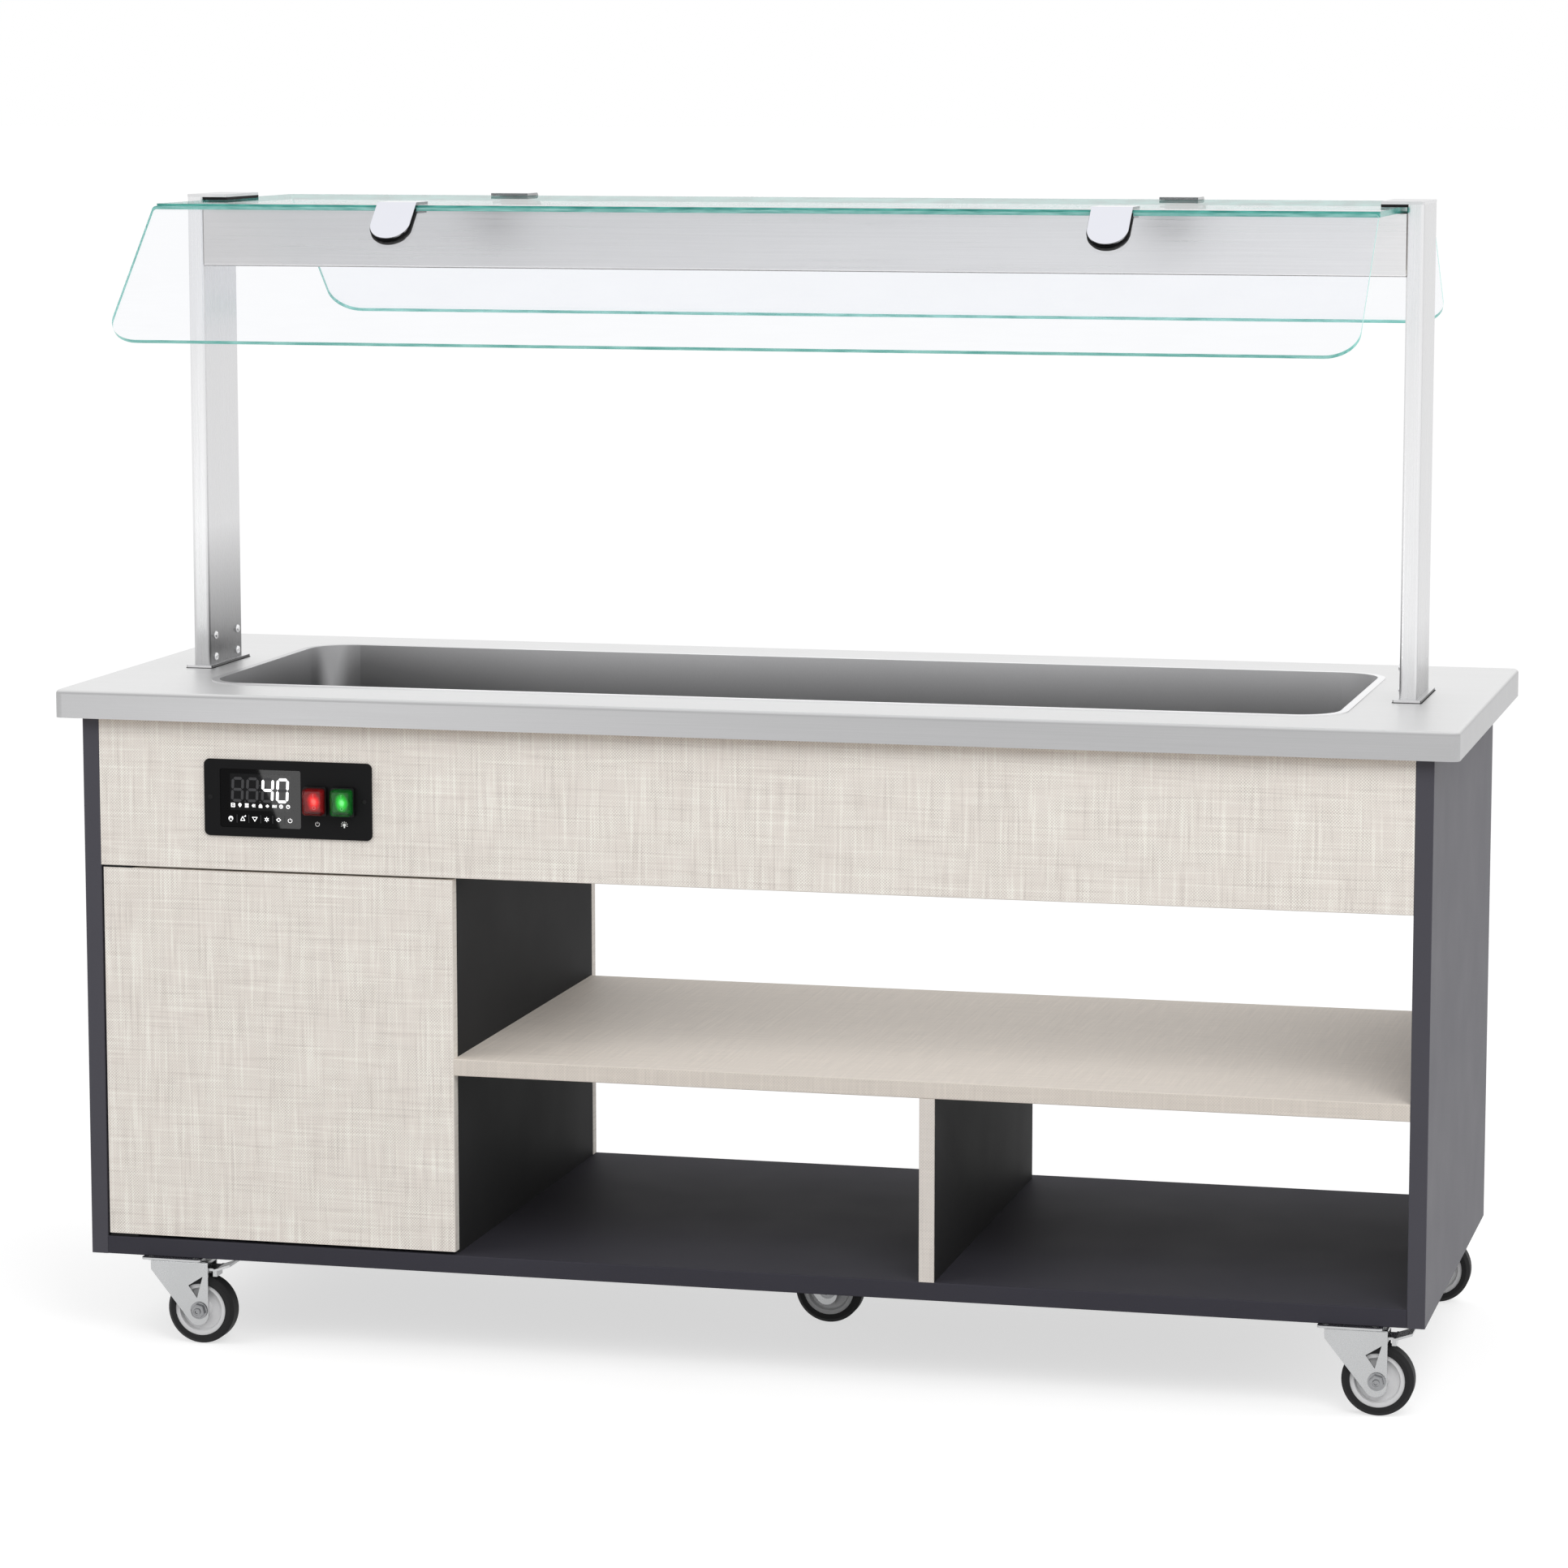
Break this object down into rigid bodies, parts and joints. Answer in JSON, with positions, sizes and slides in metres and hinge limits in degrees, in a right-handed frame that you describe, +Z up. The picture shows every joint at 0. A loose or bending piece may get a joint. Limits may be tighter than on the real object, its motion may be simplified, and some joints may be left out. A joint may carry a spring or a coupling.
{
  "type": "hot buffet trolley",
  "caption": "Mobile hot buffet trolley with a heated stainless well, slanted glass canopy on posts, control panel, open shelf bays, service door and swivel casters.",
  "frame": {"origin": "on the floor under the centre of the bounding box", "axes": "+X along the length to the end away from the control panel, -Y towards the front with the control panel, +Z up"},
  "size_m": [2, 0.989, 1.645],
  "materials": {
    "stainless": "brushed stainless steel",
    "well_steel": "satin stainless steel",
    "core_board": "raw board",
    "silicone_mat": "matt silicone",
    "mineral_wool": "fibrous wool",
    "galvanised": "galvanised sheet",
    "valve_brass": "nickel-plated brass",
    "lever_red": "gloss paint",
    "anthracite_board": "matt laminate on board",
    "linen_board": "linen-weave laminate on board",
    "zinc": "bright zinc plate",
    "grey_plastic": "fine grain",
    "black_plastic": "semi-gloss",
    "display_glass": "dark polished",
    "switch_black": "fine grain",
    "rocker_red": "translucent, lit",
    "rocker_green": "translucent, lit",
    "clear_hood": "clear silicone",
    "black_rubber": "matt",
    "opal_diffuser": "opal",
    "led_aluminium": "anodised",
    "clear_glass": "toughened, polished edges",
    "chrome": "polished",
    "hub_grey": "moulded",
    "tyre_dark": "smooth rubber"
  },
  "bodies": {
    "trolley": {"worktop": "stainless", "worktop_core": "core_board", "well": "well_steel", "heating_mats": "silicone_mat", "insulation": "mineral_wool", "well_casing": "galvanised", "drain_valve": "valve_brass", "left_side_panel": "anthracite_board", "right_side_panel": "anthracite_board", "bottom_panel": "anthracite_board", "front_fascia": "linen_board", "rear_fascia": "linen_board", "left_divider": "anthracite_board", "rear_cover": "linen_board", "shelf": "linen_board", "lower_divider": "anthracite_board", "lower_divider_edging": "linen_board", "door_pivots": "black_plastic", "touch_latch": "grey_plastic", "control_bezel": "black_plastic", "display_module": "display_glass", "switch_housings": "switch_black", "splash_hoods": "clear_hood", "terminal_box": "grey_plastic", "cable_gland": "grey_plastic", "right_post": "stainless", "left_post": "stainless", "post_bases": "stainless", "post_caps": "stainless", "cap_gaskets": "black_rubber", "lamp_beam": "stainless", "lamp_diffuser": "opal_diffuser", "led_bar": "led_aluminium", "top_glass": "clear_glass", "front_glass": "clear_glass", "rear_glass": "clear_glass", "front_clamps": "chrome", "rear_clamps": "chrome", "caster_plates": "zinc"},
    "service_door": {"service_door": "linen_board"},
    "drain_lever": {"drain_lever": "lever_red"},
    "power_rocker": {"power_rocker": "rocker_red"},
    "light_rocker": {"light_rocker": "rocker_green"},
    "front_left_swivel": {"front_left_fork": "zinc"},
    "front_left_wheel": {"front_left_hub": "hub_grey", "front_left_tyre": "tyre_dark"},
    "front_left_pedal": {"front_left_pedal": "zinc"},
    "front_right_swivel": {"front_right_fork": "zinc"},
    "front_right_wheel": {"front_right_hub": "hub_grey", "front_right_tyre": "tyre_dark"},
    "front_right_pedal": {"front_right_pedal": "zinc"},
    "middle_swivel": {"middle_fork": "zinc"},
    "middle_wheel": {"middle_hub": "hub_grey", "middle_tyre": "tyre_dark"},
    "rear_left_swivel": {"rear_left_fork": "zinc"},
    "rear_left_wheel": {"rear_left_hub": "hub_grey", "rear_left_tyre": "tyre_dark"},
    "rear_right_swivel": {"rear_right_fork": "zinc"},
    "rear_right_wheel": {"rear_right_hub": "hub_grey", "rear_right_tyre": "tyre_dark"}
  },
  "joints": [
    {"name": "service_door_hinge", "type": "hinge", "parent": "trolley", "child": "service_door", "pos_m": [-0.931, -0.359, 0.4265], "axis": [0, 0, -1], "range_deg": [0, 100]},
    {"name": "drain_lever_turn", "type": "hinge", "parent": "trolley", "child": "drain_lever", "pos_m": [-0.74, -0.0328, 0.64], "axis": [0, 1, 0], "range_deg": [0, 90]},
    {"name": "power_rocker_tilt", "type": "hinge", "parent": "trolley", "child": "power_rocker", "pos_m": [-0.613, -0.37, 0.801], "axis": [-1, 0, 0], "range_deg": [0, 18]},
    {"name": "light_rocker_tilt", "type": "hinge", "parent": "trolley", "child": "light_rocker", "pos_m": [-0.5715, -0.37, 0.801], "axis": [-1, 0, 0], "range_deg": [0, 18]},
    {"name": "front_left_swivel_turn", "type": "hinge", "parent": "trolley", "child": "front_left_swivel", "pos_m": [-0.84, -0.34, 0.122], "axis": [0, 0, 1], "continuous": true},
    {"name": "front_left_wheel_spin", "type": "hinge", "parent": "front_left_swivel", "child": "front_left_wheel", "pos_m": [-0.804, -0.34, 0.05], "axis": [0, 1, 0], "continuous": true},
    {"name": "front_left_pedal_press", "type": "hinge", "parent": "front_left_swivel", "child": "front_left_pedal", "pos_m": [-0.794, -0.34, 0.1075], "axis": [0, 1, 0], "range_deg": [0, 12]},
    {"name": "front_right_swivel_turn", "type": "hinge", "parent": "trolley", "child": "front_right_swivel", "pos_m": [0.864, -0.34, 0.122], "axis": [0, 0, 1], "continuous": true},
    {"name": "front_right_wheel_spin", "type": "hinge", "parent": "front_right_swivel", "child": "front_right_wheel", "pos_m": [0.9, -0.34, 0.05], "axis": [0, 1, 0], "continuous": true},
    {"name": "front_right_pedal_press", "type": "hinge", "parent": "front_right_swivel", "child": "front_right_pedal", "pos_m": [0.91, -0.34, 0.1075], "axis": [0, 1, 0], "range_deg": [0, 12]},
    {"name": "middle_swivel_turn", "type": "hinge", "parent": "trolley", "child": "middle_swivel", "pos_m": [0.012, 0, 0.122], "axis": [0, 0, 1], "continuous": true},
    {"name": "middle_wheel_spin", "type": "hinge", "parent": "middle_swivel", "child": "middle_wheel", "pos_m": [0.048, 0, 0.05], "axis": [0, 1, 0], "continuous": true},
    {"name": "rear_left_swivel_turn", "type": "hinge", "parent": "trolley", "child": "rear_left_swivel", "pos_m": [-0.84, 0.34, 0.122], "axis": [0, 0, 1], "continuous": true},
    {"name": "rear_left_wheel_spin", "type": "hinge", "parent": "rear_left_swivel", "child": "rear_left_wheel", "pos_m": [-0.804, 0.34, 0.05], "axis": [0, 1, 0], "continuous": true},
    {"name": "rear_right_swivel_turn", "type": "hinge", "parent": "trolley", "child": "rear_right_swivel", "pos_m": [0.864, 0.34, 0.122], "axis": [0, 0, 1], "continuous": true},
    {"name": "rear_right_wheel_spin", "type": "hinge", "parent": "rear_right_swivel", "child": "rear_right_wheel", "pos_m": [0.9, 0.34, 0.05], "axis": [0, 1, 0], "continuous": true}
  ]
}
